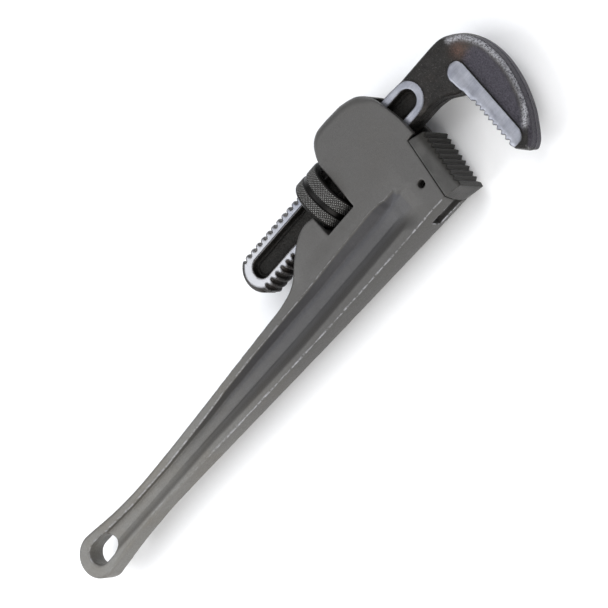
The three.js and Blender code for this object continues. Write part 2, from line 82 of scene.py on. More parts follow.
HOOK_TOOTH_X, HOOK_TOOTH_TOP, HOOK_TOOTH_DEPTH, HOOK_HALF = 433.2, 18.2, 2.4, 9.0
TEETH = 10                 # on each jaw
SLOT_LEFT, SLOT_RIGHT, SLOT_Y, SLOT_R = -0.6, 6.2, 4.0, 8.4
COIL_X, COIL_R, COIL_WIRE, COIL_BOTTOM, COIL_TOP, COIL_TURNS = 348.5, 3.0, 0.45, 20.4, 35.4, 6
LEAF_LEFT, LEAF_RIGHT, LEAF_HALF, LEAF_THICK, LEAF_Y = 336.5, 361.5, 6.0, 0.8, 35.9

# the row frame's origin, from where the CAD put the nut
nut_low, nut_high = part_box("adjusting_nut")
SHIFT = (nut_low + nut_high) / 2 - Vector((NUT_X, SCREW_Y, 0)) * MM


# ---- outlines -----------------------------------------------------------------------------

def spline(points, steps=10):
    """A smooth curve through the points, its first and last points included."""
    ends = [points[0], *points, points[-1]]
    curve = [points[0]]
    for a, b, c, d in zip(ends, ends[1:], ends[2:], ends[3:]):
        for i in range(1, steps + 1):
            t = i / steps
            curve.append(tuple(
                0.5 * (2 * q + (r - p) * t + (2 * p - 5 * q + 4 * r - s) * t * t
                       + (3 * q - p - 3 * r + s) * t ** 3)
                for p, q, r, s in zip(a, b, c, d)))
    return curve


def arc(x, y, radius, start, end, steps=24):
    angles = np.radians(np.linspace(start, end, steps))
    return [(x + radius * math.cos(a), y + radius * math.sin(a)) for a in angles]


def saw(first, towards, count, depth, lean):
    """Tips and valleys of saw teeth along a line; a valley lies depth to the line's right."""
    way = np.subtract(towards, first) / np.linalg.norm(np.subtract(towards, first))
    inwards = np.array([way[1], -way[0]]) * depth
    points = []
    for i in range(count):
        tip = np.add(first, way * (i * TOOTH_PITCH))
        points.append(tuple(tip))
        if i < count - 1:
            points.append(tuple(tip + way * (lean * TOOTH_PITCH) + inwards))
    return points


# ---- distance fields ----------------------------------------------------------------------

class Grid:
    """Sample points on a regular grid, between two corners."""

    def __init__(self, low, high, step):
        self.low, self.step = np.array(low, float), step
        axes = [np.arange(a, b + step, step, dtype=np.float32) for a, b in zip(low, high)]
        self.x = axes[0][:, None, None]
        self.y = axes[1][None, :, None]
        self.z = axes[2][None, None, :]
        self.side = np.abs(self.z)

    def area(self, outline):
        """Distance to a closed outline in x and y, for the whole height."""
        x, y = self.x[:, :, 0], self.y[:, :, 0]
        nearest = np.full(np.broadcast(x, y).shape, 1e9, np.float32)
        inside = np.zeros(nearest.shape, bool)
        for (ax, ay), (bx, by) in zip(outline, outline[1:] + outline[:1]):
            ex, ey = bx - ax, by - ay
            length = ex * ex + ey * ey
            if length < 1e-9:
                continue
            t = np.clip(((x - ax) * ex + (y - ay) * ey) / length, 0, 1)
            nearest = np.minimum(nearest, (x - ax - t * ex) ** 2 + (y - ay - t * ey) ** 2)
            if ey:
                inside ^= ((ay > y) != (by > y)) & (x < ex * (y - ay) / ey + ax)
        distance = np.sqrt(nearest)
        return np.where(inside, -distance, distance)[:, :, None]


def both(a, b, radius=0.0):
    """What is inside a and b, with the edge between them rounded."""
    if np.max(radius) <= 0:
        return np.maximum(a, b)
    corner = np.sqrt(np.maximum(a + radius, 0) ** 2 + np.maximum(b + radius, 0) ** 2)
    return np.minimum(np.maximum(a, b), -radius) + corner


def either(a, b, radius=0.0):
    """What is inside a or b, with a fillet where they meet."""
    return -both(-a, -b, radius)


def without(a, b, radius=0.0):
    return both(a, -b, radius)


def step_between(value, low, high):
    t = np.clip((value - low) / (high - low), 0, 1)
    return t * t * (3 - 2 * t)


def through(value, table):
    return np.interp(value, [a for a, _ in table], [b for _, b in table]).astype(np.float32)


# ---- meshes -------------------------------------------------------------------------------

def skin(values, grid):
    """Vertices and quads of the surface where the field is zero."""
    inside = values < 0
    corners = [(i, j, k) for i in (0, 1) for j in (0, 1) for k in (0, 1)]
    n = values.shape
    count = np.zeros([m - 1 for m in n], np.int8)
    for i, j, k in corners:
        count += inside[i:n[0] - 1 + i, j:n[1] - 1 + j, k:n[2] - 1 + k]
    crossed = (count > 0) & (count < 8)
    cells = np.argwhere(crossed)
    number = np.full(crossed.shape, -1, np.int32)
    number[crossed] = np.arange(len(cells))
    at = np.stack([values[tuple((cells + c).T)] for c in corners], 1)
    total = np.zeros((len(cells), 3))
    hits = np.zeros(len(cells))
    for a, corner in enumerate(corners):
        for axis in range(3):
            if corner[axis]:
                continue
            b = a + (4, 2, 1)[axis]
            hit = (at[:, a] < 0) != (at[:, b] < 0)
            t = np.where(hit, at[:, a] / np.where(hit, at[:, a] - at[:, b], 1), 0)
            point = np.tile(np.array(corner, float), (len(cells), 1))
            point[:, axis] = t
            total += point * hit[:, None]
            hits += hit
    vertices = grid.low + (cells + total / hits[:, None]) * grid.step
    quads = []
    for axis in range(3):
        u, v = (axis + 1) % 3, (axis + 2) % 3
        here, there = [slice(1, -1)] * 3, [slice(1, -1)] * 3
        here[axis], there[axis] = slice(0, -1), slice(1, None)
        first, second = inside[tuple(here)], inside[tuple(there)]
        offset, eu, ev = np.ones(3, int), np.zeros(3, int), np.zeros(3, int)
        offset[axis], eu[u], ev[v] = 0, 1, 1
        for one, faces_up in ((first & ~second, True), (second & ~first, False)):
            p = np.argwhere(one) + offset
            ring = [number[tuple(q.T)] for q in (p - eu - ev, p - ev, p, p - eu)]
            quads.append(np.stack(ring if faces_up else ring[::-1], 1))
    return vertices, np.concatenate(quads)


def mesh_object(name, vertices, quads):
    """A smooth mesh in the row frame, from millimetres, with how convex each vertex is."""
    mesh = bpy.data.meshes.new(name)
    mesh.vertices.add(len(vertices))
    placed = np.asarray(vertices) * MM + np.array(SHIFT)
    mesh.vertices.foreach_set("co", placed.astype(np.float32).ravel())
    mesh.loops.add(quads.size)
    mesh.loops.foreach_set("vertex_index", quads.astype(np.int32).ravel())
    mesh.polygons.add(len(quads))
    mesh.polygons.foreach_set("loop_start", np.arange(0, quads.size, 4, dtype=np.int32))
    mesh.update(calc_edges=True)
    mesh.polygons.foreach_set("use_smooth", np.ones(len(quads), bool))
    mesh.validate()
    mark_edges(mesh)
    piece = bpy.data.objects.new(name, mesh)
    bpy.context.scene.collection.objects.link(piece)
    return piece


def mark_edges(mesh, rounds=2):
    """Stores "ridge", above zero where the surface is convex and below zero in hollows."""
    count = len(mesh.vertices)
    place, normal = np.zeros(count * 3), np.zeros(count * 3)
    mesh.vertices.foreach_get("co", place)
    mesh.vertices.foreach_get("normal", normal)
    place, normal = place.reshape(-1, 3), normal.reshape(-1, 3)
    pair = np.zeros(len(mesh.edges) * 2, np.int32)
    mesh.edges.foreach_get("vertices", pair)
    a, b = pair.reshape(-1, 2).T
    way = place[a] - place[b]
    length = np.linalg.norm(way, axis=1) + 1e-12
    bend = np.zeros(count)
    np.add.at(bend, a, (normal[a] * way).sum(1) / length)
    np.add.at(bend, b, -(normal[b] * way).sum(1) / length)
    degree = np.bincount(a, minlength=count) + np.bincount(b, minlength=count) + 1e-9
    bend /= degree
    for _ in range(rounds):
        spread = np.bincount(a, bend[b], count) + np.bincount(b, bend[a], count)
        bend = 0.5 * bend + 0.5 * spread / degree
    layer = mesh.attributes.new("ridge", "FLOAT", "POINT")
    layer.data.foreach_set("value", bend.astype(np.float32))


def mark(piece, name, values):
    layer = piece.data.attributes.new(name, "FLOAT", "POINT")
    layer.data.foreach_set("value", np.asarray(values, np.float32))


def sheet_of_quads(rows, columns, closed_rows=False, closed_columns=False):
    """Quads over a rows by columns array of vertices."""
    i = np.arange(rows if closed_rows else rows - 1)[:, None]
    j = np.arange(columns if closed_columns else columns - 1)[None, :]
    i2, j2 = (i + 1) % rows, (j + 1) % columns
    corners = [i * columns + j, i2 * columns + j, i2 * columns + j2, i * columns + j2]
    return np.stack([np.broadcast_to(c, (i.size, j.size)).ravel() for c in corners], 1)


# ---- handle casting -----------------------------------------------------------------------

THICKNESS = [(-20, 8.6), (144, 8.6), (192, 9.5), (238, 10.3), (288, 12), (336, 14),
             (362, HEAD_HALF), (400, HEAD_HALF)]
HOUSING_THICKNESS = [(250, 12.6), (275, 14.6), (300, HEAD_HALF), (400, HEAD_HALF)]
FRONT = [(-30, -22), (0, -12.6), (12, -11.2), (24, -10.2), (38, -9.5), (60, -9), (90, -9.7),
         (238, -15), (345, -18), (410, -19.6)]
CROWN = 0.0112
KNOB_X, KNOB_Y, KNOB_R = -3.2, 4.2, 16.8


def casting_outline():
    below = 4      # the crowned front is cut separately, so the outline passes below it
    return [
        (SEAT_BOTTOM[0] - 0.4, SEAT_BOTTOM[1] - below), SEAT_TOP, (389, 32),
        *spline([(389, 32), (388.4, 46), (385.5, 61), (381.5, 74), (373, 84), (360, 88.6)])[1:],
        (346, LOOP_BACK),
        *arc(WINDOW_RIGHT + LOOP_CORNER, LOOP_BACK - LOOP_CORNER, LOOP_CORNER, 90, 180),
        (WINDOW_RIGHT, 30), (WINDOW_LEFT, 30),
        *spline([(WINDOW_LEFT, 46.6), (285, 48.6), (274, 46), (262, 38.4), (251, 30.6),
                 (241, 25.6), (228, 23)]),
        *spline([(93, 16.8), (60, 15.8), (38, 16.4), (22, 17.8), (8, 19.7)]),
        *arc(KNOB_X, KNOB_Y, KNOB_R, 80, 275, 44),
        (14, -14), (60, -9 - below), (90, -9.7 - below), (345, -18 - below),
    ]


# the recess's outline on the side face, above and below
RECESS_TOP = [(362, 15.3), (348, 16.1), (341, 16.4), (336, 17.9), (329, 18.7), (294, 18.1),
              (255, 16.5), (189, 15.4), (157, 14.2), (132, 12.1), (98, 10.1), (85, 9.3), (44, 9.3),
              (12, 11.5)]
RECESS_BOTTOM = [(14, -4.5), (130, -5), (177, -7.2), (219, -8.6), (362, -8.5)]

# half thickness of the web between the recesses; its floor rises to the faces at the head
WEB = [(-20, 4.7), (85, 4.7), (105, 3.6), (122, 2.6), (150, 2.3), (200, 2.5), (250, 3.2),
       (300, 4.7), (322, 5.3), (330, 6), (336, 7.2), (342, 9.2), (347, 11.6), (353.5, 15.4),
       (362, 20)]
# how far the recess's walls lean, in millimetres for each millimetre of depth
UPPER_SLOPE = [(60, 0.05), (120, 0.2), (170, 0.46), (200, 0.5), (240, 0.56), (260, 0.64),
               (300, 0.76)]
LOWER_SLOPE = [(60, 0.9), (150, 1.15)]


def recess_outline():
    return [*RECESS_TOP, *arc(SLOT_LEFT, SLOT_Y, SLOT_R, 90, 270), *RECESS_BOTTOM]


def handle_field(g):
    x, y, z, side = g.x, g.y, g.z, g.side
    in_housing = step_between(y, 18, 34) * step_between(x, 246, 262)
    beam_half = through(x, THICKNESS)
    half = beam_half + in_housing * (through(x, HOUSING_THICKNESS) - beam_half)
    at_cheeks = step_between(y, 20, 30)
    # the edges are soft at the grip and on the loop's back, and crisp between them
    edge = (0.6 + 1.9 * (1 - step_between(x, 90, 190)) + 6.4 * step_between(y, 66, 80)
            + 0.6 * at_cheeks + 1.4 * at_cheeks * (1 - step_between(x, 270, 292)))
    body = both(g.area(casting_outline()), side - half, edge)
    front_edge = 0.5 + 1.7 * (1 - step_between(x, 40, 170))
    body = both(body, through(x, FRONT) + CROWN * z * z - y, front_edge)

    # the recess in each side: sloped walls, a filleted web, and a floor that rises to the head
    upper = step_between(y, 1, 6)
    towards_head = step_between(x, 60, 150)
    slope = through(x, UPPER_SLOPE) * upper + through(x, LOWER_SLOPE) * (1 - upper)
    wall = (g.area(recess_outline()) + slope * (half - side)) / np.sqrt(1 + slope * slope)
    web = sum(through(x + near, WEB) for near in (-6, -3, 0, 3, 6)) / 5
    recess = both(wall, web - side, 0.9 * upper + 3.2 * (1 - upper))
    rim = (0.9 - 0.4 * towards_head) * upper + (1.3 - 0.6 * towards_head) * (1 - upper)
    fading = step_between(x, 336, 350) * (1 - step_between(y, 9, 14))
    body = without(body, recess, rim + 5 * fading)

    hang = np.hypot(x - np.clip(x, SLOT_LEFT, SLOT_RIGHT), y - SLOT_Y) - SLOT_R
    body = without(body, hang + 0 * z, 1.6)

    middle_x, half_x = (WINDOW_LEFT + WINDOW_RIGHT) / 2, (WINDOW_RIGHT - WINDOW_LEFT) / 2
    trough = np.minimum(np.hypot(y - SCREW_Y, z) - WINDOW_FLOOR_R, SCREW_Y - y)
    corner = 0.8 + 3.6 * step_between(x, middle_x - 2, middle_x + 6)
    body = without(body, both(np.abs(x - middle_x) - half_x, trough, corner), 0.5)
    channel = g.area([(225, 36), (310, 36), (323, 35.6), (372, 33.2), (385, 29), (400, 29),
                      (400, 76), (388, 75.4), (323, 71.7), (310, 71.7), (310, 120), (225, 120)])
    body = without(body, both(channel, side - CHANNEL_HALF, 0.8), 0.7)

    leaf = np.maximum(np.abs(x - COIL_X) - 14.6, side - LEAF_HALF - 1)
    body = without(body, both(leaf, np.abs(y - 36.5) - 3.5, 0.3), 0.2)
    pocket = both(np.hypot(x - COIL_X, z) - COIL_R - COIL_WIRE - 0.5, COIL_BOTTOM - GAP - y)
    body = without(body, both(pocket, y - 40), 0.2)
    tang = g.area([(354, -32), (400, -32), (400, 14.2), (366, 14.2), (357, 9), (354, 0)])
    body = without(body, both(tang, side - TANG_HALF - GAP, 0.5), 0.5)
    hole = np.hypot(x - PIN_X, y - PIN_Y) - PIN_R - GAP
    return without(body, hole + 0 * z, 0.5)


# ---- hook jaw forging ---------------------------------------------------------------------

def hook_teeth():
    return saw((HOOK_TOOTH_X, HOOK_TOOTH_TOP), (HOOK_TOOTH_X, -40), TEETH, -HOOK_TOOTH_DEPTH, 0.6)


def hook_outline():
    return [
        (THREAD_TOP_X - 6, 39.2), (408, 38),
        *spline([(408, 38), (416.6, 36.2), (421.8, 33.2), (426.2, 30), (430, 27.8),
                 (HOOK_TOOTH_X, 26.6)])[1:],
        *hook_teeth(), (HOOK_TOOTH_X + 0.6, -28), (438, -33.4),
        *spline([(438, -33.4), (441.4, -34.9), (447.6, -31.6), (454.4, -22.8), (460.4, -12.6),
                 (466, 2.5), (468.9, 18), (468.9, 32), (465.7, 46), (458.8, 57.4), (450.5, 64.2),
                 (443.5, 67.2), (434, 67.9)])[1:],
        (THREAD_TOP_X - 6, 67.9),
    ]


def dish_outline():
    """The shallow dish between the toothed strip and the hook's rounded outer edge."""
    return [
        (440, 40), *spline([(446, 42.6), (452, 46), (459, 44), (463, 35), (463.4, 18), (460, 1),
                            (454, -13.5), (446, -25)]),
        (440, -24),
    ]


def thread(g):
    """The ridge and core of a right-handed screw about the shank's axis."""
    y, z = g.y - SCREW_Y, g.z
    radius, angle = np.hypot(y, z), np.arctan2(z, y)
    turns = (g.x - THREAD_START_X) / PITCH - angle / (2 * math.pi)
    along = np.abs((turns + 0.5) % 1 - 0.5) * PITCH
    t = np.clip((radius - ROOT_R) / (CREST_R - ROOT_R), 0, 1)
    half = RIDGE_FOOT + (RIDGE_TOP - RIDGE_FOOT) * t
    ridge = both((along - half) * 0.85, radius - CREST_R, 0.5)
    plain = both(radius - CREST_R, g.x - THREAD_START_X + 1.5, 0.6)
    return either(either(radius - ROOT_R + 0 * g.x, ridge, 0.5), plain, 0.5)


def hook_field(g):
    x, y, z, side = g.x, g.y, g.z, g.side
    # the dies' draft leans the walls in from a fine parting line at the middle plane
    outline = g.area(hook_outline())
    parting = 0.4 * np.exp(-(z / 0.7) ** 2) * step_between(x, 404, 414)
    round_edge = 2.6 + 1.2 * step_between(x, 438, 450)
    head = both(outline + 0.4 - parting + 0.05 * side, side - HOOK_HALF, round_edge)
    dish = (g.area(dish_outline()) + 1.5 * (HOOK_HALF - side)) / math.hypot(1, 1.5)
    head = without(head, both(dish, HOOK_HALF - side - 1.4, 1.2), 1.6)

    upper = g.area([
        (THREAD_TOP_X - 6, 39.7), (392, 40.4), *arc(399.2, 53.6, 12.8, -90, 90),
        (392, 67.2), (THREAD_TOP_X - 6, 67.7),
    ])
    upper = both(upper, side - SHANK_HALF, 0.5)
    strip = g.area([
        (445.9, 10), *arc(438.9, 39.5, 7, 0, 180), (HOOK_TOOTH_X, 26.6), *hook_teeth(),
        (HOOK_TOOTH_X + 1.2, -27.4), (438.9, -27.4), *arc(438.9, -20.4, 7, -90, 0),
    ])
    strip = both(strip, side - SHANK_HALF, 0.35)
    head = either(head, upper, 1.6)
    head = either(head, strip, 2.2)
    head = both(head, np.minimum(outline, x - 430))          # keeps the teeth crisp

    end = np.hypot(np.minimum(x - SHANK_END_X, 0), y - SCREW_Y) - SHANK_END_R
    at_end = step_between(SHANK_END_X + 8 - x, 0, 8)
    screw = both(thread(g), side - SHANK_HALF, 0.45)
    screw = both(screw, both(end, side - SHANK_HALF, 0.5 + 3.6 * at_end), 0.4)
    screw = both(screw, x - THREAD_TOP_X)
    body = either(head, screw, 0.6)

    panel = np.hypot(x - np.clip(x, SHANK_END_X, PANEL_TOP_X), y - SCREW_Y + 0.3) - 7.7
    depth = SHANK_HALF - side
    # the panel's floor carries a low plateau
    floor = PANEL_DEPTH - PLATEAU * step_between(-panel, 2.6, 3.2)
    panel = both((panel + 0.3 * depth) / math.hypot(1, 0.3), depth - floor, 0.8)
    return without(body, panel, 0.5)


# ---- heel jaw -----------------------------------------------------------------------------

def heel_field(g):
    x, y, z, side = g.x, g.y, g.z, g.side
    teeth = saw(HEEL_FIRST_TIP, HEEL_LAST_TIP, TEETH, HEEL_TOOTH_DEPTH, 0.4)
    body = g.area([
        (SEAT_BOTTOM[0] + 0.3, SEAT_BOTTOM[1] - 3), (390.6, -23), (391, -19), *teeth[::-1],
        (395.6, 27.2), (SEAT_TOP[0] + 0.3, SEAT_TOP[1] - 0.4),
    ])
    body = both(body, side - HEAD_HALF, 0.45)
    # the front is crowned like the casting at the seat and flat at the teeth
    crown = through(x, [(376.5, CROWN), (391, 0.0004)])
    front = through(x, [(376.5, -18.7), (391, -19), (410, -19)]) + crown * z * z - y
    body = both(body, front, 0.4)
    tang = g.area([(385, -15.4), (385, 10.5), (378.9, 10.5), (366.6, 13.6), (357.6, 8.6),
                   (354.6, 0), (356.4, -12.4), (359.4, -15.4)])
    body = either(body, both(tang, side - TANG_HALF, 0.6), 0.3)
    return without(body, np.hypot(x - PIN_X, y - PIN_Y) - PIN_R - GAP + 0 * z, 0.3)


# ---- round pieces -------------------------------------------------------------------------

def make_nut():
    """A ring with two diamond-knurled bands, a smooth groove and the female thread."""
    left, right = NUT_X - NUT_LENGTH / 2, NUT_X + NUT_LENGTH / 2
    around = 532
    knurls = 76                                   # diamonds in one turn
    outside = np.linspace(left + 2.3, right - 0.9, 96)
    profile = [(left, NUT_BORE + 1.0, 0), (left, NUT_R - 3.4, 0), (left, NUT_R - 2.7, 0),
               (left + 0.3, NUT_R - 1.9, 0), (left + 1.0, NUT_R - 0.9, 0),
               (left + 1.8, NUT_R - 0.35, 0)]
    for x in outside:
        groove = np.clip((2.0 - abs(x - NUT_X)) / 0.5, 0, 1)
        band = np.clip((abs(x - NUT_X) - 2.3) / 0.4, 0, 1)
        band *= np.clip((x - left - 2.2) / 0.6, 0, 1) * np.clip((right - 0.9 - x) / 0.3, 0, 1)
        profile.append((x, NUT_R - 0.12 - 0.8 * groove, band))
    profile += [(right - 0.7, NUT_R - 0.12, 0), (right - 0.1, NUT_R - 0.75, 0),
                (right, NUT_R - 1.0, 0), (right, NUT_R - 3.4, 0), (right, NUT_BORE + 1.0, 0),
                (right - 0.3, NUT_BORE + 0.4, 0)]
    inside = np.linspace(right - 1.2, left + 1.2, 60)
    profile += [(x, 0, 0) for x in inside] + [(left + 0.3, NUT_BORE + 0.4, 0)]
    x, r, band = np.array(profile, float).T[:, :, None]
    angle = np.linspace(0, 2 * math.pi, around, endpoint=False)[None, :]
    arc_length = angle * knurls
    lead = x * knurls / NUT_R
    wave = np.abs(np.sin((arc_length + lead) / 2)) * np.abs(np.sin((arc_length - lead) / 2))
    height = band * (wave - 0.55) * 1.1
    turns = (x - THREAD_START_X) / PITCH - angle / (2 * math.pi) + 0.5
    along = np.abs((turns + 0.5) % 1 - 0.5) * PITCH
    ridge = np.clip((1.75 - along) / 0.7, 0, 1) * (NUT_BORE - ROOT_R - 0.4)
    fade = np.clip(np.minimum(x - left - 1.2, right - 1.2 - x) / 1.0, 0, 1)
    radius = np.where(r > 0, r + np.minimum(height, 0.1), NUT_BORE - ridge * fade)
    place = np.stack([x + 0 * angle, SCREW_Y + radius * np.cos(angle), radius * np.sin(angle)], 2)
    quads = sheet_of_quads(len(profile), around, closed_rows=True, closed_columns=True)
    nut = mesh_object("nut_ring", place.reshape(-1, 3), quads)
    knurl = band * wave + 0 * angle
    mark(nut, "knurl", np.where(r + 0 * angle > 0, knurl, -1).ravel())
    return nut


def ring_sweep(name, centres, normals, binormals, section):
    """A tube: the section's points are laid in each centre's normal and binormal, ends capped."""
    rows = [c + np.outer(section[:, 0], n) + np.outer(section[:, 1], b)
            for c, n, b in zip(centres, normals, binormals)]
    count = len(section)
    first, last = rows[0].mean(0), rows[-1].mean(0)
    rows = [np.tile(first, (count, 1)), *rows, np.tile(last, (count, 1))]
    place = np.concatenate(rows)
    quads = sheet_of_quads(len(rows), count, closed_columns=True)
    piece = mesh_object(name, place, quads)
    merge_doubles(piece)
    return piece


def merge_doubles(piece):
    bm = bmesh.new()
    bm.from_mesh(piece.data)
    bmesh.ops.remove_doubles(bm, verts=bm.verts, dist=1e-6)
    bmesh.ops.recalc_face_normals(bm, faces=bm.faces)
    bm.to_mesh(piece.data)
    bm.free()


def make_coil():
    steps = COIL_TURNS * 32
    t = np.linspace(0, 1, steps + 1)
    angle = t * COIL_TURNS * 2 * math.pi
    # the end turns lie closed and flat, as on a ground spring
    rise = np.interp(t, [0, 0.14, 0.86, 1], [0, 0.06, 0.94, 1])
    height = COIL_BOTTOM + COIL_WIRE + rise * (COIL_TOP - COIL_BOTTOM - 2 * COIL_WIRE)
    out = np.stack([np.cos(angle), 0 * angle, np.sin(angle)], 1)
    centres = np.stack([COIL_X + 0 * t, height, 0 * t], 1) + COIL_R * out
    up = np.tile(np.array([0.0, 1.0, 0.0]), (len(t), 1))
    turn = np.linspace(0, 2 * math.pi, 12, endpoint=False)
    section = COIL_WIRE * np.stack([np.cos(turn), np.sin(turn)], 1)
    return ring_sweep("jaw_coil_spring", centres, out, up, section)


def make_pin():
    """A rolled spring pin: a C-shaped section with its slit, chamfered at both ends."""
    open_half = math.asin(0.5 / PIN_R)
    angle = np.linspace(math.pi + open_half, 3 * math.pi - open_half, 40)
    ends = [(-PIN_HALF, 0.35), (-PIN_HALF + 0.7, 0), (PIN_HALF - 0.7, 0), (PIN_HALF, 0.35)]
    rows = []
    for z, less in ends:
        outer = np.stack([np.cos(angle), np.sin(angle)], 1) * (PIN_R - less)
        inner = np.stack([np.cos(angle), np.sin(angle)], 1)[::-1] * PIN_BORE
        loop = np.concatenate([outer, inner]) + [PIN_X, PIN_Y]
        rows.append(np.column_stack([loop, np.full(len(loop), z)]))
    count = len(rows[0])
    quads = sheet_of_quads(len(rows), count, closed_columns=True)
    half = len(angle)
    caps = []
    for base, flip in ((0, True), ((len(rows) - 1) * count, False)):
        for i in range(half - 1):
            ring = [base + i, base + i + 1, base + count - 2 - i, base + count - 1 - i]
            caps.append(ring[::-1] if flip else ring)
    pin = mesh_object("heel_jaw_spring_pin", np.concatenate(rows), np.concatenate([quads, caps]))
    merge_doubles(pin)
    soften(pin)
    return pin


def make_leaf():
    """The bowed leaf spring between the casting and the shank, with rounded corners."""
    g = Grid((LEAF_LEFT - 1, LEAF_Y - 1.6, -LEAF_HALF - 1),
             (LEAF_RIGHT + 1, LEAF_Y + 1.8, LEAF_HALF + 1), 0.22)
    half_length = (LEAF_RIGHT - LEAF_LEFT) / 2
    along = (g.x - COIL_X - 0.5) / half_length
    middle = LEAF_Y - 0.1 + 0.5 * (1 - along ** 2)
    corner = 2.0
    dx = np.maximum(np.abs(g.x - (LEAF_LEFT + LEAF_RIGHT) / 2) - half_length + corner, 0)
    dz = np.maximum(g.side - LEAF_HALF + corner, 0)
    plan = np.hypot(dx, dz) - corner
    leaf = both(plan, np.abs(g.y - middle) - LEAF_THICK / 2, 0.15)
    leaf = without(leaf, np.hypot(g.x - COIL_X, g.z) - 1.4 + 0 * g.y, 0.1)
    return mesh_object("jaw_leaf_spring", *skin(leaf, g))


def make_rivet():
    g = Grid((COIL_X - 3, LEAF_Y - 2.2, -3), (COIL_X + 3, LEAF_Y + 1.3, 3), 0.16)
    radius = np.hypot(g.x - COIL_X, g.z)
    stem = both(radius - 1.1, np.abs(g.y - LEAF_Y + 0.45) - 1.15, 0.2)
    head = both(radius - 1.9, np.abs(g.y - LEAF_Y + 1.0) - 0.6, 0.3)
    return mesh_object("leaf_rivet", *skin(either(stem, head, 0.1), g))


def soften(piece, angle=35):
    """Edges sharper than the angle are shaded as edges."""
    mesh = piece.data
    bm = bmesh.new()
    bm.from_mesh(mesh)
    for edge in bm.edges:
        if len(edge.link_faces) == 2:
            edge.smooth = edge.calc_face_angle(0) < math.radians(angle)
    bm.to_mesh(mesh)
    bm.free()


# ---- materials ----------------------------------------------------------------------------

class Finish:
    """A metal finish built from nodes. Lengths are in metres of the object's own space."""

    def __init__(self, name, **fixed):
        self.material = bpy.data.materials.new(name)
        self.material.use_nodes = True
        self.tree = self.material.node_tree
        self.shader = self.tree.nodes["Principled BSDF"]
        self.space = self.tree.nodes.new("ShaderNodeTexCoord").outputs["Object"]
        for socket, value in fixed.items():
            self.shader.inputs[socket.replace("_", " ")].default_value = value

    def node(self, kind, inputs=(), **settings):
        node = self.tree.nodes.new(kind)
        for key, value in settings.items():
            setattr(node, key, value)
        for key, value in inputs:
            if isinstance(value, bpy.types.NodeSocket):
                self.tree.links.new(value, node.inputs[key])
            else:
                node.inputs[key].default_value = value
        return node

    def noise(self, size, detail=4, rough=0.6, stretch=(1, 1, 1)):
        """Noise with features of about this size, in metres, stretched by the factors given."""
        scale = Vector([1 / s for s in stretch])
        placed = self.node("ShaderNodeMapping", [("Vector", self.space), ("Scale", scale)])
        return self.node("ShaderNodeTexNoise", [
            ("Vector", placed.outputs[0]), ("Scale", 1 / size), ("Detail", detail),
            ("Roughness", rough)]).outputs["Fac"]

    def cells(self, size):
        return self.node("ShaderNodeTexVoronoi", [
            ("Vector", self.space), ("Scale", 1 / size)]).outputs["Distance"]

    def layer(self, name):
        return self.node("ShaderNodeAttribute", attribute_name=name).outputs["Fac"]

    def spread(self, value, low, high, out_low=0.0, out_high=1.0):
        return self.node("ShaderNodeMapRange", [
            ("Value", value), ("From Min", low), ("From Max", high), ("To Min", out_low),
            ("To Max", out_high)]).outputs[0]

    def math(self, operation, a, b):
        return self.node("ShaderNodeMath", [(0, a), (1, b)], operation=operation).outputs[0]

    def blend(self, share, a, b):
        return self.node("ShaderNodeMix", [("Factor", share), (6, a), (7, b)],
                         data_type="RGBA").outputs[2]

    def bump(self, height, distance, before=None):
        inputs = [("Height", height), ("Distance", distance), ("Strength", 1.0)]
        if before is not None:
            inputs.append(("Normal", before))
        return self.node("ShaderNodeBump", inputs).outputs[0]

    def finish(self, **sockets):
        for name, value in sockets.items():
            self.tree.links.new(value, self.shader.inputs[name.replace("_", " ")])
        return self.material


def tone(r, g, b):
    return (r, g, b, 1.0)


def cast_aluminium():
    f = Finish("cast_aluminium", Metallic=0.4)
    broad = f.noise(0.045, 3, 0.55)
    fine = f.noise(0.0011, 5, 0.7)
    colour = f.blend(f.spread(broad, 0.3, 0.7), tone(0.118, 0.113, 0.104), tone(0.15, 0.146, 0.135))
    colour = f.blend(f.spread(f.noise(0.028, 4), 0.45, 0.7, 0, 0.5), colour, tone(0.125, 0.108, 0.082))
    colour = f.blend(f.spread(fine, 0.35, 0.75, 0, 0.35), colour, tone(0.065, 0.062, 0.057))
    # painted shade: the casting is darker towards the head
    head_painted_shade = f.math("MULTIPLY", f.layer("towards_head"), 0.85)
    colour = f.blend(head_painted_shade, colour, tone(0.05, 0.048, 0.046))
    # painted shade in the side recesses
    colour = f.blend(f.math("MULTIPLY", f.layer("recess"), 0.7), colour, tone(0.034, 0.034, 0.04))
    ridge = f.layer("ridge")
    # bright edges, partly wear and partly painted highlight, only below the housing
    worn = f.math("MULTIPLY", f.spread(ridge, 0.05, 0.15), f.spread(f.noise(0.003, 4), 0.38, 0.6))
    worn = f.math("MULTIPLY", worn, f.layer("edge_wear_and_highlight"))
    colour = f.blend(worn, colour, tone(0.36, 0.36, 0.38))
    # painted shade in the concave creases
    crease_painted_shade = f.spread(ridge, -0.05, -0.3, 0, 0.45)
    colour = f.blend(crease_painted_shade, colour, tone(0.04, 0.039, 0.036))
    rough = f.spread(fine, 0.3, 0.7, 0.42, 0.6)
    normal = f.bump(fine, 0.00012)
    normal = f.bump(f.noise(0.012, 2), 0.0003, normal)
    return f.finish(Base_Color=colour, Roughness=rough, Normal=normal)


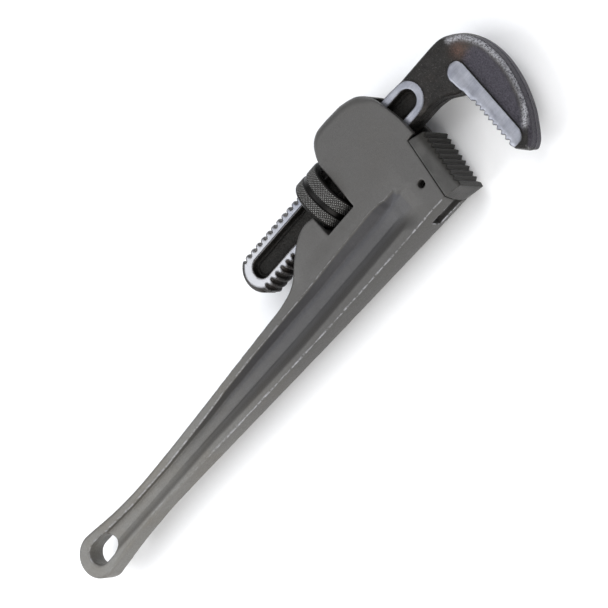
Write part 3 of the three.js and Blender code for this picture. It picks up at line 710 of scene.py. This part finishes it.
def forged_steel():
    f = Finish("forged_steel", Metallic=0.82)
    scale = f.noise(0.006, 4, 0.65)
    fine = f.noise(0.0012, 5, 0.75)
    colour = f.blend(f.spread(scale, 0.35, 0.65), tone(0.024, 0.022, 0.02), tone(0.055, 0.05, 0.046))
    rust = f.math("MULTIPLY", f.spread(f.noise(0.014, 4), 0.52, 0.66), f.spread(fine, 0.4, 0.6))
    colour = f.blend(f.math("MULTIPLY", rust, 0.35), colour, tone(0.1, 0.058, 0.038))
    colour = f.blend(f.math("MULTIPLY", f.layer("neck"), 0.75), colour, tone(0.012, 0.0115, 0.011))
    sparkle = f.math("MULTIPLY", f.layer("neck"), f.spread(fine, 0.58, 0.66))
    colour = f.blend(f.math("MULTIPLY", sparkle, 0.22), colour, tone(0.3, 0.29, 0.28))
    grains = f.blend(f.spread(fine, 0.35, 0.65), tone(0.024, 0.022, 0.027), tone(0.07, 0.065, 0.078))
    colour = f.blend(f.layer("dish"), colour, grains)
    ridge = f.layer("ridge")
    worn = f.math("MULTIPLY", f.spread(ridge, 0.05, 0.24), f.spread(fine, 0.42, 0.58))
    colour = f.blend(worn, colour, tone(0.42, 0.42, 0.43))
    # the hook's rounded outer edge is lighter, partly wear and partly painted highlight
    crest_wear_and_highlight = f.math("MULTIPLY", f.layer("crest"), f.spread(fine, 0.4, 0.56))
    colour = f.blend(crest_wear_and_highlight, colour, tone(0.4, 0.4, 0.42))
    brown = f.math("MULTIPLY", f.layer("rust"), f.spread(fine, 0.35, 0.6, 0.1, 0.6))
    colour = f.blend(brown, colour, tone(0.14, 0.075, 0.055))
    ground = f.layer("ground")
    streak = f.noise(0.0009, 4, 0.6, (22, 1, 1))
    patch = f.math("ADD", f.math("MULTIPLY", streak, 0.3), f.math("MULTIPLY", f.noise(0.009, 4), 0.7))
    bright = f.blend(f.spread(patch, 0.35, 0.65), tone(0.16, 0.165, 0.19), tone(0.26, 0.265, 0.29))
    # painted highlight on the ground edges towards the lower end
    bright = f.blend(f.layer("lower_end_painted_highlight"), bright, tone(0.3, 0.3, 0.31))
    # darker where the nut runs, partly grease and partly painted shade
    bright = f.blend(f.layer("grease_and_painted_shade"), bright, tone(0.03, 0.029, 0.027))
    colour = f.blend(ground, colour, bright)
    # painted shade on the sunk floor of the side panel
    panel = f.layer("panel")
    colour = f.blend(f.math("MULTIPLY", panel, 0.9), colour, tone(0.008, 0.0075, 0.0065))
    rough = f.spread(fine, 0.3, 0.7, 0.3, 0.55)
    rough = f.node("ShaderNodeMix", [("Factor", ground), (2, rough), (3, 0.34)]).outputs[0]
    rough_scale = f.math("SUBTRACT", 1.0, f.math("MULTIPLY", ground, 0.92))
    normal = f.bump(f.math("MULTIPLY", fine, rough_scale), 0.00055)
    normal = f.bump(f.math("MULTIPLY", scale, rough_scale), 0.0013, normal)
    return f.finish(Base_Color=colour, Roughness=rough, Normal=normal)


def black_oxide():
    f = Finish("black_oxide_steel", Metallic=0.7)
    broad = f.noise(0.012, 4)
    fine = f.noise(0.0008, 4, 0.7)
    colour = f.blend(f.spread(broad, 0.35, 0.65), tone(0.034, 0.033, 0.031), tone(0.052, 0.05, 0.047))
    ridge = f.layer("ridge")
    # darker towards the toothed end
    colour = f.blend(f.layer("toothed_end_darker"), colour, tone(0.012, 0.011, 0.009))
    worn = f.math("MULTIPLY", f.spread(ridge, 0.18, 0.4), f.spread(fine, 0.42, 0.58))
    colour = f.blend(worn, colour, tone(0.24, 0.24, 0.235))
    rough = f.spread(fine, 0.3, 0.7, 0.36, 0.5)
    normal = f.bump(fine, 0.00012)
    return f.finish(Base_Color=colour, Roughness=rough, Normal=normal)


def nut_steel():
    f = Finish("nut_steel", Metallic=0.85)
    fine = f.noise(0.0009, 4, 0.7)
    knurl = f.layer("knurl")
    colour = f.blend(f.spread(fine, 0.3, 0.7), tone(0.03, 0.028, 0.025), tone(0.055, 0.052, 0.047))
    colour = f.blend(f.spread(knurl, 0.45, 0.1), colour, tone(0.008, 0.0075, 0.007))
    tips = f.math("MULTIPLY", f.spread(knurl, 0.55, 0.95), f.spread(fine, 0.25, 0.6))
    colour = f.blend(tips, colour, tone(0.5, 0.5, 0.49))
    ridge = f.layer("ridge")
    colour = f.blend(f.spread(ridge, 0.15, 0.4), colour, tone(0.45, 0.45, 0.45))
    # painted shade in the nut's hollows
    colour = f.blend(f.spread(ridge, -0.05, -0.4, 0, 0.8), colour, tone(0.02, 0.019, 0.017))
    hidden = f.spread(knurl, -0.4, -0.8)
    colour = f.blend(hidden, colour, tone(0.05, 0.048, 0.044))
    rough = f.spread(fine, 0.3, 0.7, 0.34, 0.5)
    return f.finish(Base_Color=colour, Roughness=rough, Normal=f.bump(fine, 0.00008))


def spring_steel():
    f = Finish("spring_steel", Metallic=0.9)
    fine = f.noise(0.0006, 3, 0.6, (6, 1, 1))
    colour = f.blend(f.spread(fine, 0.3, 0.7), tone(0.05, 0.048, 0.045), tone(0.11, 0.105, 0.1))
    return f.finish(Base_Color=colour, Roughness=f.spread(fine, 0.3, 0.7, 0.28, 0.42),
                    Normal=f.bump(fine, 0.00003))


# ---- pieces on their bodies ---------------------------------------------------------------

finishes = {
    "cast_aluminium": cast_aluminium(),
    "forged_steel": forged_steel(),
    "black_oxide_steel": black_oxide(),
    "nut_steel": nut_steel(),
    "spring_steel": spring_steel(),
}


def place(piece, body, node, slot):
    piece.data.materials.append(finishes[slot])
    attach(piece, body)
    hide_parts(node)


def in_millimetres(piece):
    place = np.zeros(len(piece.data.vertices) * 3)
    piece.data.vertices.foreach_get("co", place)
    return (place.reshape(-1, 3) - np.array(SHIFT)) / MM


HANDLE_STEP, HOOK_STEP, HEEL_STEP = 0.66, 0.55, 0.4     # the grids' steps, in millimetres
coarse = 1.0

g = Grid((-22.4, -22, -17), (391, 92, 17), HANDLE_STEP * coarse)
handle = mesh_object("handle_casting", *skin(handle_field(g), g))
where = in_millimetres(handle)
along, across = where[:, 0], where[:, 1]
sunk = through(along, THICKNESS) - np.abs(where[:, 2])
under_top = across < through(along, RECESS_TOP[::-1]) + 0.2
between = under_top & (across > through(along, RECESS_BOTTOM) - 0.2)
hollow = np.clip((sunk - 0.8) / 0.8, 0, 1) * between * (along < 353) * step_between(along, 40, 200)
# painted shade in the recess: darkest on its upper wall, while its lower wall keeps the casting's own
# tone
recess_painted_shade = step_between(across, -5, 1) * (0.5 + 0.5 * step_between(across, 8, 11))
mark(handle, "recess", hollow * recess_painted_shade)
# how far the painted shade on the casting reaches along towards the head
mark(handle, "towards_head", step_between(along, 60, 260))
# the edges that get bright wear and painted highlight: below the housing and not round the pin hole
near_hole = np.hypot(along - PIN_X, across - PIN_Y) < 7
mark(handle, "edge_wear_and_highlight", (1 - step_between(across, 19, 24)) * ~near_hole * (along < 374))
place(handle, "handle_body", "handle", "cast_aluminium")

g = Grid((219, -37, -11.4), (471, 72.5, 11.4), HOOK_STEP * coarse)
hook = mesh_object("hook_jaw_forging", *skin(hook_field(g), g))
where = in_millimetres(hook)
along, across, height = where[:, 0], where[:, 1], np.abs(where[:, 2])
mark(hook, "ground", np.clip((height - 9.72) / 0.15, 0, 1))
# the sunk floor of the side panel gets painted shade
in_panel = np.hypot(along - np.clip(along, SHANK_END_X, PANEL_TOP_X), across - 53.7) < 7.9
mark(hook, "panel", in_panel * np.clip((9.4 - height) / 1.0, 0, 1))
low_dish = np.clip((8.9 - height) / 0.9, 0, 1) * step_between(along, 440, 443)
mark(hook, "dish", low_dish * (1 - step_between(across, 42, 50)))
mark(hook, "neck", step_between(along, 402, 409) * (1 - step_between(along, 444, 458)))
# the line along the hook's rounded outer edge that is lighter, partly from wear and partly from
# painted highlight
crest = spline([(449, 60), (457.8, 54), (463.5, 44), (465.9, 36.3), (467.2, 17.3), (464, -0.8),
                (459.1, -12), (450.3, -21.1)])
to_crest = np.min([np.hypot(along - a, across - b) for a, b in crest], axis=0)
mark(hook, "crest", np.exp(-(to_crest / 2.2) ** 2) * (height > 7))
mark(hook, "rust", np.exp(-((along - 449.5) ** 2 + (across - 50) ** 2) / 30))
# painted highlight makes the ground edges brighter towards the lower end; where the nut runs they are
# darker, partly grease and partly painted shade
mark(hook, "lower_end_painted_highlight", 1 - step_between(along, 236, 285))
mark(hook, "grease_and_painted_shade", np.exp(-((along - 318) / 14) ** 2))
place(hook, "hook_jaw_body", "hook_jaw", "forged_steel")

g = Grid((353, -21, -17), (399, 33, 17), HEEL_STEP * coarse)
heel = mesh_object("heel_jaw_block", *skin(heel_field(g), g))
# the heel jaw is darker towards its toothed end
mark(heel, "toothed_end_darker", step_between(in_millimetres(heel)[:, 0], 387, 392))
place(heel, "handle_body", "heel_jaw", "black_oxide_steel")

place(make_nut(), "nut", "adjusting_nut", "nut_steel")
place(make_pin(), "handle_body", "heel_jaw_pin", "spring_steel")
coil = make_coil()
place(coil, "handle_body", "coil_spring", "spring_steel")
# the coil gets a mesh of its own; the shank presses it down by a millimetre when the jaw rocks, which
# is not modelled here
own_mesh(coil)
place(make_leaf(), "spring_leaf", "flat_spring", "spring_steel")
place(make_rivet(), "spring_leaf", "spring_rivet", "spring_steel")


# ---- stage --------------------------------------------------------------------------------

def pale(name, colour, rough):
    f = Finish(name, Metallic=0.0)
    grain = f.noise(0.004, 3)
    mixed = f.blend(f.spread(grain, 0.3, 0.7), tone(*[c * 0.985 for c in colour]), tone(*colour))
    f.shader.inputs["Roughness"].default_value = rough
    return f.finish(Base_Color=mixed)


floor_mesh = bpy.data.meshes.new("table_top")
reach = 4.0                # half the table's width, in metres
floor_mesh.from_pydata(
    [(-reach, -reach, 0), (reach, -reach, 0), (reach, reach, 0), (-reach, reach, 0)],
    [], [(0, 1, 2, 3)])
floor = bpy.data.objects.new("table_top", floor_mesh)
floor.location.z = -0.0004
floor_mesh.materials.append(pale("pale_table", (0.9, 0.9, 0.9), 0.9))
bpy.context.scene.collection.objects.link(floor)

world = bpy.data.worlds.new("studio")
world.use_nodes = True
world.node_tree.nodes["Background"].inputs["Color"].default_value = (0.93, 0.95, 1.0, 1)
world.node_tree.nodes["Background"].inputs["Strength"].default_value = 0.4
bpy.context.scene.world = world


def lamp(name, size, watts, at, towards=(0, 0, 0), colour=(1, 1, 1)):
    data = bpy.data.lights.new(name, "AREA")
    data.shape = "RECTANGLE"
    data.size, data.size_y = size
    data.energy = watts
    data.color = colour
    light = bpy.data.objects.new(name, data)
    light.location = at
    light.rotation_euler = (Vector(towards) - Vector(at)).to_track_quat("-Z", "Y").to_euler()
    bpy.context.scene.collection.objects.link(light)


lamp("left_window", (1.8, 2.0), 38, (-1.35, 0.4, 1.4), colour=(0.95, 0.97, 1.0))
lamp("top_window", (1.8, 1.4), 22, (0.8, 0.9, 1.5), colour=(0.97, 0.98, 1.0))
lamp("front_fill", (2.0, 1.2), 34, (-0.2, -1.7, 1.0), colour=(1.0, 0.985, 0.96))

bpy.context.scene.view_settings.view_transform = "Standard"

camera_data = bpy.data.cameras.new("camera")
camera_data.sensor_width = 36
camera_data.lens = 207.24
camera = bpy.data.objects.new("camera", camera_data)
right = Vector((0.61004, -0.58911, -0.52992))
up = Vector((0.69466, 0.71934, 0.0))
back = right.cross(up).normalized()
up = back.cross(right).normalized()
turn = Matrix((right.normalized(), up, back)).transposed().to_4x4()
camera.matrix_world = Matrix.Translation(Vector((1157.0, -868.3, 2037.5)) * MM + SHIFT) @ turn
bpy.context.scene.collection.objects.link(camera)
bpy.context.scene.camera = camera
